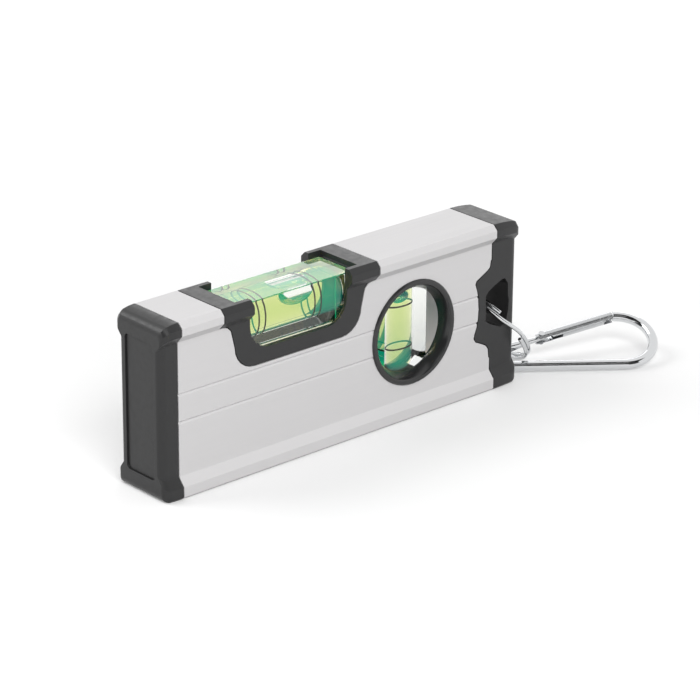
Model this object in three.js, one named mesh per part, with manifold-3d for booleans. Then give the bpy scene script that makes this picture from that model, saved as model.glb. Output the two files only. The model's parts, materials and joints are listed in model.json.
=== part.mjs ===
// Mini magnetic spirit level with a key ring and a small carabiner.
// Millimetres, +Z up. The origin is the centre of the level's base face,
// +X runs along the level towards the ring, and the front face looks along -Y.

import * as THREE from 'three';
import { mergeVertices } from 'three/addons/utils/BufferGeometryUtils.js';
import Module from 'manifold-3d';

const wasm = await Module();
wasm.setup();

// Driving dimensions of the level's body

const overallLength = 104;
const overallHeight = 40;
const flangeDepth = 16.9;
const webDepth = 13.7;
const topFlatDepth = 14.5;
const leftCapLength = 5;
const rightCapLength = 8;
const topChamferDrop = 1.2;
const topLipDrop = 2.9;
const topShoulderDrop = 4.65;
const baseChamfer = 0.5;
const baseLipHeight = 2.8;
const baseShoulderHeight = 4.7;
const webWall = 1.5;
const floorWall = 3.6;
const roofWall = 1.8;
const grooveWidth = 0.7;
const grooveDepth = 0.35;
const grooveHeightShares = [0.585, 0.426];

// Gaps between pieces, and the length by which a cut runs past what it cuts

const seam = 0.2;
const clearance = 0.3;
const overrun = 2;

// Magnetic strip in the base

const stripWidth = 7.6;
const stripThickness = 2;
const stripDovetail = 0.7;

// End caps

const capEdgeRadius = 1.7;
const spigotLength = 4;
const spigotOverlap = 1.5;
const panelWidth = 9.4;
const panelHeightShare = 0.785;
const panelDepth = 1;
const panelCornerRadius = 1;

// Lanyard hole in the right cap, and the tongue that carries it into the web

const holeWidth = 7.4;
const holeHeight = 11.6;
const holeFromEnd = 5.9;
const tongueReach = 5.1;
const tongueBackWall = 2.4;
const holeOutlineShares = [
  [0.31, 0.5], [0.446, 0.38], [0.46, 0.12], [0.5, 0.03], [0.486, -0.2], [0.405, -0.4], [0.176, -0.5],
  [-0.284, -0.37], [-0.473, -0.285], [-0.473, -0.04], [-0.486, 0.254], [-0.365, 0.336], [-0.108, 0.42],
  [0.19, 0.5],
];
const tongueOutlineShares = [
  [0.04, 0.285], [0.09, 0.245], [0.22, 0.23], [0.67, 0.2], [0.9, 0.185], [0.96, 0.165], [0.86, 0.13],
  [0.78, 0.088], [0.73, 0.006], [0.76, -0.052], [0.84, -0.1], [0.96, -0.139], [1, -0.165], [0.86, -0.19],
  [0.57, -0.207], [0.25, -0.228], [0.1, -0.253], [0.05, -0.31],
];

// Saddle that holds the level vial in the top edge, with shares of the level's length

const saddleCentreShare = -0.1303;
const saddleLengthShare = 0.426;
const saddleWaistShare = 0.348;
const saddleNeckShare = 0.3615;
const saddleDrop = 15.6;
const saddleCornerRadius = 5.7;
const saddleNeckRadius = 2.4;
const saddleWindowShare = 0.2644;
const saddleWindowDrop = 12;
const saddleWindowRadius = 5.6;
const stripInnerShare = 0.3327;
const tabReach = 2;
const tabDepth = 8;
const tabThickness = 1.6;

// Level vial, a clear block with a liquid-filled bore along X, with shares of the level's length

const levelBlockShare = 0.3212;
const levelBlockDepth = 11.6;
const levelBlockDrop = 1.3;
const levelBlockChamfer = 0.4;
const levelBoreRadius = 4.3;
const levelBoreUnderTop = 5;
const levelBoreEndWall = 0.9;
const levelMarkCentreShare = -0.1389;
const levelMarkSpanShares = [0.1346, 0.1692];
const levelPlugLength = 2;
const levelBubbleShare = 0.0923;
const levelBubbleWidth = 5.6;
const levelBubbleHeight = 3.2;
const levelBubbleOffsetShare = 0.0308;
const levelBubbleTravelShare = 0.0519;

// Plumb vial, a clear block with an upright bore in the round window, with shares of the level's height

const windowXShare = 0.1933;
const windowZShare = 0.5025;
const windowRimShare = 0.31;
const windowRimProud = 0.5;
const windowRimEdge = 0.35;
const windowSleeveShare = 0.28;
const windowThroatShare = 0.2475;
const windowMouthShare = 0.2725;
const windowThroatDepth = 2.3;
const plumbBlockWidth = 12.5;
const plumbBlockDepth = 8.5;
const plumbBlockEndShare = 0.275;
const plumbBoreRadius = 3.6;
const plumbBoreFloor = 0.8;
const plumbMarkShare = 0.1275;
const plumbMarkRise = 0.4;
const plumbPlugLength = 1.6;
const plumbBubbleRadius = 2.5;
const plumbBubbleHeight = 2.8;
const plumbBubbleTravelShare = 0.325;

// Line rings of both vials

const markWidth = 0.35;
const markThickness = 0.4;
const markBed = 0.3;
const markGap = 0.1;
const liquidGap = 0.3;

// Split ring of round wire, wound almost twice

const ringRadius = 12.5;
const ringWire = 1;
const ringSelfGap = 0.44;
const ringFromCap = [0.05, 3.6];
const ringBelowHole = 8.9;
const ringTiltDegrees = 51.7;
const ringFirstTipDegrees = -127.5;
const ringSecondTipDegrees = -90;

// Carabiner bent from round wire, drawn in its own plane: u along it, v across it

const hookWire = 2.4;
const hookSmallRadius = 3.1;
const hookBigRadius = 7.9;
const hookSpan = 26.3;
const hookFromCap = [4.55, -1.9];
const hookBelowHole = 17.2;
const hookAzimuthDegrees = -26.6;
const hookPitchDegrees = 3.1;
const hookRollDegrees = 21.5;
const noseRise = 0.4;
const noseU = 27.45;
const noseReach = 0.45;
const noseBendDegrees = 72;
const tongueThickness = 0.9;
const tongueHalfWidth = 0.9;
const hookGap = 0.3;

// Gate of the carabiner, its hinge pin, its latch pin and its spring

const gateTube = 2.6;
const gateEndU = 26.85;
const lugRadius = 1.45;
const pinU = 8.5;
const pinRadius = 0.4;
const pinPlay = 0.09;
const pinHead = 0.75;
const pinHeadThickness = 0.25;
const hingeForkLength = 4;
const noseForkLength = 2.4;
const latchU = 25.8;
const latchRadius = 0.35;
const springWire = 0.45;
const springStartU = 10.2;
const springEndU = 13;
const springInside = 0.3;
const springBow = 1.6;

// Facet counts

const roundSteps = 48;
const vialSteps = 32;
const pinSteps = 16;
const ringSteps = 36;
const springSteps = 10;
const wireSides = 10;
const thinSides = 6;
const ringSides = 8;
const arcSteps = 6;

// Places that follow from the driving dimensions

const leftEnd = -overallLength / 2;
const rightEnd = overallLength / 2;
const bodyLeft = leftEnd + leftCapLength;
const bodyRight = rightEnd - rightCapLength;
const midZ = overallHeight / 2;
const webHalf = webDepth / 2;
const flangeHalf = flangeDepth / 2;
const cavityHalf = webHalf - webWall;
const cavityTopZ = overallHeight - roofWall;
const shoulderZ = overallHeight - topShoulderDrop;
const panelHeight = panelHeightShare * overallHeight;
const saddleCentreX = saddleCentreShare * overallLength;
const saddleHalfLength = (saddleLengthShare * overallLength) / 2;
const saddleWaistHalf = (saddleWaistShare * overallLength) / 2;
const saddleNeckHalf = (saddleNeckShare * overallLength) / 2;
const saddleBottomZ = overallHeight - saddleDrop;
const saddleWindowHalf = (saddleWindowShare * overallLength) / 2;
const saddleWindowBottomZ = overallHeight - saddleWindowDrop;
const stripInnerHalf = (stripInnerShare * overallLength) / 2;
const levelBlockHalf = (levelBlockShare * overallLength) / 2;
const levelBlockTopZ = overallHeight - levelBlockDrop;
const levelBoreZ = levelBlockTopZ - levelBoreUnderTop;
const levelLeft = saddleCentreX - levelBlockHalf;
const levelRight = saddleCentreX + levelBlockHalf;
const levelBoreRight = levelRight - levelBoreEndWall;
const levelMarkCentreX = levelMarkCentreShare * overallLength;
const levelBubbleLength = levelBubbleShare * overallLength;
const levelBubbleOffset = levelBubbleOffsetShare * overallLength;
const levelBubbleTravel = levelBubbleTravelShare * overallLength;
const windowX = windowXShare * overallLength;
const windowZ = windowZShare * overallHeight;
const windowRimRadius = windowRimShare * overallHeight;
const windowSleeveRadius = windowSleeveShare * overallHeight;
const windowThroatRadius = windowThroatShare * overallHeight;
const windowMouthRadius = windowMouthShare * overallHeight;
const plumbBlockEndRadius = plumbBlockEndShare * overallHeight;
const plumbMarkHalf = plumbMarkShare * overallHeight;
const plumbBubbleTravel = plumbBubbleTravelShare * overallHeight;
const plumbMarkZ = windowZ + plumbMarkRise;
const plumbBoreBottomZ = windowZ - plumbBlockEndRadius + plumbBoreFloor;
const plumbTopZ = windowZ + plumbBlockEndRadius;
const ringCentre = [rightEnd + ringFromCap[0], ringFromCap[1], windowZ - ringBelowHole];
const hookCentre = [rightEnd + hookFromCap[0], hookFromCap[1], windowZ - hookBelowHole];

// Colours and finishes

const finishes = {
  aluminium: { color: 0xd4d2d3, roughness: 0.45, metalness: 0.8 },
  plastic: { color: 0x3c3c3d, roughness: 0.55, metalness: 0 },
  clear: { color: 0xe6ecdf, roughness: 0.05, metalness: 0, transparent: true, opacity: 0.3 },
  liquid: { color: 0xc9e25a, roughness: 0.1, metalness: 0 },
  bubble: { color: 0xf4f8e6, roughness: 0.05, metalness: 0 },
  ink: { color: 0x161616, roughness: 0.6, metalness: 0 },
  magnet: { color: 0x262423, roughness: 0.8, metalness: 0 },
  chrome: { color: 0xdadcdf, roughness: 0.12, metalness: 1 },
};

const assembly = new THREE.Group();

function addNode(name, finish, shape, parent = assembly) {
  const mesh = new THREE.Mesh(toGeometry(shape), new THREE.MeshStandardMaterial(finishes[finish]));
  mesh.name = name;
  parent.add(mesh);
  return mesh;
}

// Solids from geometries, and back

function toSolid(geometry) {
  const bare = new THREE.BufferGeometry();
  bare.setAttribute('position', geometry.getAttribute('position'));
  if (geometry.index) bare.setIndex(geometry.index);
  const merged = mergeVertices(bare);
  const corners = [...merged.index.array];
  const triangles = [];
  for (let i = 0; i < corners.length; i += 3) {
    const [a, b, c] = corners.slice(i, i + 3);
    if (a !== b && b !== c && c !== a) triangles.push(a, b, c);
  }
  const vertProperties = new Float32Array(merged.getAttribute('position').array);
  const build = (order) => new wasm.Manifold(
    new wasm.Mesh({ numProp: 3, vertProperties, triVerts: new Uint32Array(order) }),
  );
  const solid = build(triangles);
  return solid.volume() > 0 ? solid : build(triangles.reverse());
}

function toGeometry(solid) {
  const mesh = solid.getMesh();
  const geometry = new THREE.BufferGeometry();
  const places = new Float32Array(mesh.numVert * 3);
  for (let i = 0; i < mesh.numVert; i += 1) {
    for (let k = 0; k < 3; k += 1) places[i * 3 + k] = mesh.vertProperties[i * mesh.numProp + k];
  }
  geometry.setAttribute('position', new THREE.BufferAttribute(places, 3));
  geometry.setIndex(new THREE.BufferAttribute(new Uint32Array(mesh.triVerts), 1));
  geometry.computeVertexNormals();
  return geometry;
}

// Outlines in a plane, as lists of [across, up]

function arc(centreA, centreB, radius, fromDegrees, toDegrees, steps = arcSteps) {
  const points = [];
  for (let i = 0; i <= steps; i += 1) {
    const angle = THREE.MathUtils.degToRad(fromDegrees + ((toDegrees - fromDegrees) * i) / steps);
    points.push([centreA + radius * Math.cos(angle), centreB + radius * Math.sin(angle)]);
  }
  return points;
}

function mirrored(points) {
  return points.map(([a, b]) => [-a, b]).reverse();
}

function signedArea(points) {
  return THREE.ShapeUtils.area(points.map(([a, b]) => new THREE.Vector2(a, b)));
}

// Moves every edge of a closed outline outwards by a distance, inwards if it is negative
function offset(points, distance) {
  const turn = Math.sign(signedArea(points));
  const count = points.length;
  return points.map((point, i) => {
    const before = points[(i + count - 1) % count];
    const after = points[(i + 1) % count];
    const first = new THREE.Vector2(point[0] - before[0], point[1] - before[1]).normalize();
    const second = new THREE.Vector2(after[0] - point[0], after[1] - point[1]).normalize();
    const normalA = new THREE.Vector2(first.y, -first.x);
    const normalB = new THREE.Vector2(second.y, -second.x);
    const mitre = normalA.clone().add(normalB).normalize();
    const reach = (distance * turn) / mitre.dot(normalA);
    return [point[0] + mitre.x * reach, point[1] + mitre.y * reach];
  });
}

function roundedRectangle(width, height, radius, centreA, centreB) {
  const a = width / 2 - radius;
  const b = height / 2 - radius;
  return [
    ...arc(centreA + a, centreB + b, radius, 0, 90),
    ...arc(centreA - a, centreB + b, radius, 90, 180),
    ...arc(centreA - a, centreB - b, radius, 180, 270),
    ...arc(centreA + a, centreB - b, radius, 270, 360),
  ];
}

// Prisms and turned pieces

function prism(points, length, acrossAxis, upAxis, alongAxis) {
  const shape = new THREE.Shape(points.map(([a, b]) => new THREE.Vector2(a, b)));
  const geometry = new THREE.ExtrudeGeometry(shape, { depth: length, bevelEnabled: false });
  geometry.applyMatrix4(new THREE.Matrix4().makeBasis(acrossAxis, upAxis, alongAxis));
  return geometry;
}

const axisX = new THREE.Vector3(1, 0, 0);
const axisY = new THREE.Vector3(0, 1, 0);
const axisZ = new THREE.Vector3(0, 0, 1);

// An outline of [y, z] drawn out along X
function alongX(points, fromX, toX) {
  return toSolid(prism(points, toX - fromX, axisY, axisZ, axisX).translate(fromX, 0, 0));
}

// An outline of [x, z] drawn out along Y
function alongY(points, fromY, toY) {
  const geometry = prism(points, toY - fromY, axisX, axisZ, axisY.clone().negate());
  return toSolid(geometry.translate(0, toY, 0));
}

// An outline of [x, y] drawn out along Z
function alongZ(points, fromZ, toZ) {
  return toSolid(prism(points, toZ - fromZ, axisX, axisY, axisZ).translate(0, 0, fromZ));
}

function block(fromX, toX, fromY, toY, fromZ, toZ) {
  const geometry = new THREE.BoxGeometry(toX - fromX, toY - fromY, toZ - fromZ);
  return toSolid(geometry.translate((fromX + toX) / 2, (fromY + toY) / 2, (fromZ + toZ) / 2));
}

// A profile of [radius, along] turned about the Y axis
function turned(profile, steps = roundSteps) {
  return new THREE.LatheGeometry(profile.map(([r, a]) => new THREE.Vector2(r, a)), steps);
}

function turnedX(profile, x, y, z, steps = vialSteps) {
  return toSolid(turned(profile, steps).rotateZ(-Math.PI / 2).translate(x, y, z));
}

function turnedY(profile, x, y, z, steps = roundSteps) {
  return toSolid(turned(profile, steps).translate(x, y, z));
}

function turnedZ(profile, x, y, z, steps = vialSteps) {
  return toSolid(turned(profile, steps).rotateX(Math.PI / 2).translate(x, y, z));
}

function rod(radius, from, to) {
  return [[0, from], [radius, from], [radius, to], [0, to]];
}

function hollowRing(innerRadius, outerRadius, from, to) {
  return [[innerRadius, from], [outerRadius, from], [outerRadius, to], [innerRadius, to], [innerRadius, from]];
}

// A closed skin over sections with as many points each, flat at both ends
function loft(sections) {
  const count = sections[0].length;
  const places = sections.flat().flatMap((point) => [point.x, point.y, point.z]);
  const triangles = [];
  for (let s = 0; s + 1 < sections.length; s += 1) {
    for (let i = 0; i < count; i += 1) {
      const a = s * count + i;
      const b = s * count + ((i + 1) % count);
      triangles.push(a, b, b + count, a, b + count, a + count);
    }
  }
  const outline = sections[0].map((point) => new THREE.Vector2(point.y, point.z));
  const turn = Math.sign(THREE.ShapeUtils.area(outline));
  const last = (sections.length - 1) * count;
  for (const corners of THREE.ShapeUtils.triangulateShape(outline, [])) {
    const facing = Math.sign(THREE.ShapeUtils.area(corners.map((corner) => outline[corner])));
    const [a, b, c] = facing === turn ? corners : corners.reverse();
    triangles.push(c, b, a, last + a, last + b, last + c);
  }
  const geometry = new THREE.BufferGeometry();
  geometry.setAttribute('position', new THREE.Float32BufferAttribute(places, 3));
  geometry.setIndex(triangles);
  return toSolid(geometry);
}

// Round wire swept along points, with flat ends
function wire(points, radius, sides = wireSides) {
  const places = [];
  const triangles = [];
  const last = points.length - 1;
  let across = null;
  points.forEach((point, i) => {
    const along = points[Math.min(i + 1, last)].clone().sub(points[Math.max(i - 1, 0)]).normalize();
    if (!across) across = new THREE.Vector3(-along.z, along.x, along.y);
    across = across.sub(along.clone().multiplyScalar(across.dot(along))).normalize();
    const other = along.clone().cross(across);
    for (let k = 0; k < sides; k += 1) {
      const angle = (2 * Math.PI * k) / sides;
      const place = point.clone().addScaledVector(across, radius * Math.cos(angle));
      place.addScaledVector(other, radius * Math.sin(angle));
      places.push(place.x, place.y, place.z);
    }
  });
  for (let i = 0; i < last; i += 1) {
    for (let k = 0; k < sides; k += 1) {
      const a = i * sides + k;
      const b = i * sides + ((k + 1) % sides);
      triangles.push(a, b, b + sides, a, b + sides, a + sides);
    }
  }
  for (let k = 1; k + 1 < sides; k += 1) {
    triangles.push(0, k + 1, k, last * sides, last * sides + k, last * sides + k + 1);
  }
  const geometry = new THREE.BufferGeometry();
  geometry.setAttribute('position', new THREE.Float32BufferAttribute(places, 3));
  geometry.setIndex(triangles);
  return toSolid(geometry);
}

// Cross-section of the extrusion, as [y, z]

function bodyHalfProfile(grooved) {
  const side = [
    [topFlatDepth / 2, overallHeight],
    [flangeHalf, overallHeight - topChamferDrop],
    [flangeHalf, overallHeight - topLipDrop],
    [webHalf, shoulderZ],
  ];
  for (const share of grooved ? grooveHeightShares : []) {
    const z = share * overallHeight;
    side.push([webHalf, z + grooveWidth / 2], [webHalf - grooveDepth, z], [webHalf, z - grooveWidth / 2]);
  }
  side.push(
    [webHalf, baseShoulderHeight],
    [flangeHalf, baseLipHeight],
    [flangeHalf, baseChamfer],
    [flangeHalf - baseChamfer, 0],
  );
  return side;
}

function bodyProfile(grooved = false) {
  const half = bodyHalfProfile(grooved);
  return [...half, ...mirrored(half)];
}

// Dovetail of the magnetic strip, as [y, z], widened by a gap
function stripProfile(gap) {
  const top = stripThickness + gap;
  const lower = stripWidth / 2 + gap;
  const upper = lower + stripDovetail;
  return [[lower, 0], [upper, top], [-upper, top], [-lower, 0]];
}

// Outlines in the web, as [x, z]

function saddleOutline() {
  const cornerX = saddleWaistHalf - saddleCornerRadius;
  const neckX = saddleNeckHalf + saddleNeckRadius;
  const half = [
    ...arc(cornerX, saddleBottomZ + saddleCornerRadius, saddleCornerRadius, -90, 0),
    ...arc(neckX, shoulderZ - saddleNeckRadius, saddleNeckRadius, 180, 90, arcSteps / 2),
    [saddleHalfLength, shoulderZ],
    [saddleHalfLength, overallHeight + overrun],
  ];
  return [...half, ...mirrored(half)].map(([x, z]) => [saddleCentreX + x, z]);
}

function saddleWindowOutline() {
  const cornerX = saddleWindowHalf - saddleWindowRadius;
  const half = [
    ...arc(cornerX, saddleWindowBottomZ + saddleWindowRadius, saddleWindowRadius, -90, 0),
    [saddleWindowHalf, overallHeight + overrun],
  ];
  return [...half, ...mirrored(half)].map(([x, z]) => [saddleCentreX + x, z]);
}

function tongueOutline(endX) {
  const edge = tongueOutlineShares.map(([reach, rise]) => [
    bodyRight - reach * tongueReach, midZ + rise * overallHeight,
  ]);
  const [highest] = edge;
  const lowest = edge[edge.length - 1];
  return [[endX, highest[1]], ...edge, [endX, lowest[1]]];
}

function holeOutline() {
  const centreX = rightEnd - holeFromEnd;
  return holeOutlineShares.map(([a, b]) => [centreX + a * holeWidth, windowZ + b * holeHeight]);
}

// The extruded aluminium body

function makeBody() {
  const hollow = block(
    bodyLeft - overrun, bodyRight + overrun, -cavityHalf, cavityHalf, floorWall, cavityTopZ,
  );
  const slot = alongX(stripProfile(seam), bodyLeft - overrun, bodyRight + overrun);
  const slotMouth = block(
    bodyLeft - overrun, bodyRight + overrun, -stripWidth / 2 - seam, stripWidth / 2 + seam, -overrun, seam,
  );
  const window = turnedY(rod(windowSleeveRadius + seam, -flangeDepth, flangeDepth), windowX, 0, windowZ);
  return alongX(bodyProfile(true), bodyLeft, bodyRight)
    .subtract(hollow)
    .subtract(slot)
    .subtract(slotMouth)
    .subtract(alongY(saddleOutline(), -flangeDepth, flangeDepth))
    .subtract(window)
    .subtract(alongY(tongueOutline(bodyRight + overrun), -flangeDepth, flangeDepth));
}

function makeMagnetStrip() {
  return alongX(stripProfile(0), bodyLeft + seam, bodyRight - seam);
}

// End caps, with the body's own outline and rounded outer edges

function capShell(seatX, endX) {
  const outwards = Math.sign(endX - seatX);
  const profile = bodyProfile();
  const section = (x, inset) => profile.map(([y, z]) => new THREE.Vector3(
    x,
    y * (1 - inset / flangeHalf),
    midZ + (z - midZ) * (1 - inset / midZ),
  ));
  const sections = [section(seatX, 0)];
  for (let i = 0; i <= arcSteps; i += 1) {
    const angle = (Math.PI / 2) * (i / arcSteps);
    const inset = capEdgeRadius * (1 - Math.cos(angle));
    sections.push(section(endX - outwards * capEdgeRadius * (1 - Math.sin(angle)), inset));
  }
  return loft(sections);
}

function spigot(fromX, toX) {
  return block(
    fromX, toX, -cavityHalf + seam, cavityHalf - seam, floorWall + seam, cavityTopZ - seam,
  );
}

function makeLeftCap() {
  const seat = bodyLeft - seam;
  const panelOutline = roundedRectangle(panelWidth, panelHeight, panelCornerRadius, 0, windowZ);
  const panel = alongX(panelOutline, leftEnd - overrun, leftEnd + panelDepth);
  return capShell(seat, leftEnd)
    .add(spigot(seat - spigotOverlap, bodyLeft + spigotLength))
    .subtract(panel);
}

function makeRightCap() {
  const seat = bodyRight + seam;
  const tip = rightEnd - holeFromEnd - holeWidth / 2 - tongueBackWall;
  const tongueEnd = seat + spigotOverlap;
  const tongue = alongY(offset(tongueOutline(tongueEnd), -seam), -webHalf, webHalf);
  const hole = alongY(holeOutline(), -flangeDepth, flangeDepth);
  return capShell(seat, rightEnd)
    .add(spigot(tip, seat + spigotOverlap))
    .add(tongue)
    .subtract(hole);
}

// The saddle, cut from the body's outline so that it stays flush with it

function makeSaddle() {
  const left = saddleCentreX - saddleHalfLength - overrun;
  const right = saddleCentreX + saddleHalfLength + overrun;
  const skin = alongX(bodyProfile(), left, right)
    .intersect(alongY(offset(saddleOutline(), -seam), -flangeDepth, flangeDepth));
  const pocketHalf = levelBlockHalf + seam;
  const pocket = block(
    saddleCentreX - pocketHalf, saddleCentreX + pocketHalf,
    -levelBlockDepth / 2 - seam, levelBlockDepth / 2 + seam, saddleWindowBottomZ, overallHeight + overrun,
  );
  const mouth = block(
    saddleCentreX - stripInnerHalf, saddleCentreX + stripInnerHalf,
    -levelBlockDepth / 2 - seam, levelBlockDepth / 2 + seam, levelBlockTopZ, overallHeight + overrun,
  );
  const tabReachX = saddleHalfLength + tabReach;
  const tab = block(
    saddleCentreX - tabReachX, saddleCentreX + tabReachX, -tabDepth / 2, tabDepth / 2,
    cavityTopZ - clearance - tabThickness, cavityTopZ - clearance,
  );
  return skin
    .add(tab)
    .subtract(pocket)
    .subtract(mouth)
    .subtract(alongY(saddleWindowOutline(), -flangeDepth, flangeDepth));
}

// Level vial

function levelMarkPlaces() {
  const [inner, outer] = levelMarkSpanShares.map((share) => (share * overallLength) / 2);
  return [-outer, -inner, inner, outer].map((half) => levelMarkCentreX + half);
}

function markBedRing(radius) {
  const half = markWidth / 2 + markGap;
  return hollowRing(radius - markGap, radius + markBed, -half, half);
}

function markRing(radius) {
  const outer = radius + markBed - markGap;
  return hollowRing(outer - markThickness, outer, -markWidth / 2, markWidth / 2);
}

function makeLevelVial() {
  const half = levelBlockDepth / 2;
  const bottom = saddleWindowBottomZ + seam;
  const top = levelBlockTopZ;
  const cut = levelBlockChamfer;
  const side = [[half - cut, top], [half, top - cut], [half, bottom + cut], [half - cut, bottom]];
  let vial = alongX([...side, ...mirrored(side)], levelLeft, levelRight);
  const dome = levelBoreRadius / 2;
  const bore = [
    [0, levelLeft - overrun], [levelBoreRadius, levelLeft - overrun], [levelBoreRadius, levelBoreRight - dome],
    [levelBoreRadius - dome / 4, levelBoreRight - dome / 2], [levelBoreRadius - dome, levelBoreRight],
    [0, levelBoreRight],
  ];
  vial = vial.subtract(turnedX(bore, 0, 0, levelBoreZ));
  for (const x of levelMarkPlaces()) {
    vial = vial.subtract(turnedX(markBedRing(levelBoreRadius), x, 0, levelBoreZ));
  }
  return vial;
}

function levelBubblePlace() {
  return {
    x: levelMarkCentreX + levelBubbleOffset,
    z: levelBoreZ + levelBoreRadius - liquidGap - levelBubbleHeight / 2,
  };
}

function pillShape(halfLength, radius, height, x, z) {
  const steps = vialSteps / 4;
  const profile = [];
  for (let i = 0; i <= steps; i += 1) {
    const angle = Math.PI * (i / steps) - Math.PI / 2;
    const along = (halfLength - radius) * Math.sign(Math.round(Math.sin(angle) * steps));
    profile.push([radius * Math.cos(angle), along + radius * Math.sin(angle)]);
  }
  profile[0][0] = 0;
  profile[steps][0] = 0;
  const geometry = turned(profile, vialSteps * 0.75).rotateZ(-Math.PI / 2);
  return toSolid(geometry.scale(1, 1, height / (2 * radius)).translate(x, 0, z));
}

function makeLevelBubble() {
  const { x, z } = levelBubblePlace();
  return pillShape(levelBubbleLength / 2, levelBubbleWidth / 2, levelBubbleHeight, x, z);
}

function makeLevelLiquid() {
  const radius = levelBoreRadius - liquidGap;
  const dome = levelBoreRadius / 2;
  const end = levelBoreRight - liquidGap;
  const start = levelLeft + levelPlugLength + liquidGap;
  const profile = [
    [0, start], [radius, start], [radius, end - dome], [radius - dome / 4, end - dome / 2],
    [radius - dome, end], [0, end],
  ];
  const { x, z } = levelBubblePlace();
  const reach = levelBubbleLength / 2 + levelBubbleTravel + clearance;
  const channelHalf = levelBubbleWidth / 2 + clearance;
  const channel = block(
    x - levelBubbleOffset - reach, x - levelBubbleOffset + reach, -channelHalf, channelHalf,
    z - levelBubbleHeight / 2 - clearance, levelBlockTopZ,
  );
  return turnedX(profile, 0, 0, levelBoreZ).subtract(channel);
}

function makeLevelPlug() {
  const radius = levelBoreRadius - markGap;
  return turnedX(rod(radius, levelLeft, levelLeft + levelPlugLength), 0, 0, levelBoreZ);
}

// Plumb vial and its round two-part holder

function makePlumbVial() {
  const halfX = plumbBlockWidth / 2;
  const halfY = plumbBlockDepth / 2;
  const puck = turnedY(rod(plumbBlockEndRadius, -halfY, halfY), windowX, 0, windowZ);
  let vial = block(
    windowX - halfX, windowX + halfX, -halfY, halfY, windowZ - plumbBlockEndRadius, plumbTopZ,
  ).intersect(puck);
  const dome = plumbBoreRadius / 2;
  const bore = [
    [0, plumbBoreBottomZ], [plumbBoreRadius - dome, plumbBoreBottomZ],
    [plumbBoreRadius - dome / 4, plumbBoreBottomZ + dome / 2], [plumbBoreRadius, plumbBoreBottomZ + dome],
    [plumbBoreRadius, plumbTopZ + overrun], [0, plumbTopZ + overrun],
  ];
  vial = vial.subtract(turnedZ(bore, windowX, 0, 0));
  for (const half of [-plumbMarkHalf, plumbMarkHalf]) {
    vial = vial.subtract(turnedZ(markBedRing(plumbBoreRadius), windowX, 0, plumbMarkZ + half));
  }
  return vial;
}

function plumbPlugFrom() {
  return windowZ + Math.sqrt(plumbBlockEndRadius ** 2 - plumbBoreRadius ** 2) - plumbPlugLength;
}

function makePlumbPlug() {
  const radius = plumbBoreRadius - markGap;
  return turnedZ(rod(radius, plumbPlugFrom(), plumbPlugFrom() + plumbPlugLength), windowX, 0, 0);
}

function plumbBubbleZ() {
  return plumbPlugFrom() - clearance - plumbBubbleHeight / 2;
}

function makePlumbBubble() {
  const geometry = new THREE.SphereGeometry(1, vialSteps * 0.75, vialSteps / 4);
  geometry.rotateX(Math.PI / 2).scale(plumbBubbleRadius, plumbBubbleRadius, plumbBubbleHeight / 2);
  return toSolid(geometry.translate(windowX, 0, plumbBubbleZ()));
}

function makePlumbLiquid() {
  const radius = plumbBoreRadius - liquidGap;
  const inner = plumbBubbleRadius + clearance;
  const bottom = plumbBoreBottomZ + liquidGap;
  const top = plumbPlugFrom() - liquidGap;
  const channelBottom = plumbBubbleZ() - plumbBubbleTravel - plumbBubbleHeight / 2 - clearance;
  const dome = plumbBoreRadius / 2;
  const profile = [
    [0, bottom], [radius - dome, bottom], [radius - dome / 4, bottom + dome / 2], [radius, bottom + dome],
    [radius, top], [inner, top], [inner, channelBottom], [0, channelBottom],
  ];
  return turnedZ(profile, windowX, 0, 0);
}

// One half of the holder, for the face on the side of the given sign of Y
function makeWindowBezel(sign) {
  const face = webHalf + windowRimProud;
  const seatGap = seam / 2;
  const profile = [
    [windowThroatRadius, seatGap], [windowSleeveRadius, seatGap], [windowSleeveRadius, webHalf],
    [windowRimRadius, webHalf], [windowRimRadius, face - windowRimEdge],
    [windowRimRadius - windowRimEdge, face], [windowMouthRadius + windowRimEdge, face],
    [windowMouthRadius, face - windowRimEdge], [windowThroatRadius, face - windowThroatDepth],
    [windowThroatRadius, seatGap],
  ].map(([r, y]) => [r, sign * y]);
  const halfX = plumbBlockWidth / 2 + seam;
  const halfY = plumbBlockDepth / 2 + seam;
  const seat = block(
    windowX - halfX, windowX + halfX, -halfY, halfY,
    windowZ - windowRimRadius - overrun, windowZ + windowRimRadius + overrun,
  );
  return turnedY(profile, windowX, 0, windowZ).subtract(seat);
}

// Split ring, in a group tilted about Y whose local X points outwards and down

function ringPoints() {
  const single = THREE.MathUtils.euclideanModulo(ringSecondTipDegrees - ringFirstTipDegrees, 360);
  const sweep = 2 * 360 - single;
  const steps = Math.round((sweep / 360) * ringSteps);
  const lift = (ringWire + ringSelfGap) / 2;
  const points = [];
  for (let i = 0; i <= steps; i += 1) {
    const swept = (sweep * i) / steps;
    const angle = THREE.MathUtils.degToRad(ringFirstTipDegrees - swept);
    const crossing = THREE.MathUtils.smoothstep(swept, 360 - single, 360);
    points.push(new THREE.Vector3(
      ringRadius * Math.cos(angle), ringRadius * Math.sin(angle), lift * (1 - 2 * crossing),
    ));
  }
  return points;
}

// The least gap of the ring's wire to itself, between points half a turn or more apart
function ringLeastGap(points) {
  const apart = ringSteps / 2;
  let least = Infinity;
  points.forEach((point, i) => {
    for (let k = i + apart; k < points.length; k += 1) {
      least = Math.min(least, point.distanceTo(points[k]) - ringWire);
    }
  });
  return least;
}

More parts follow.
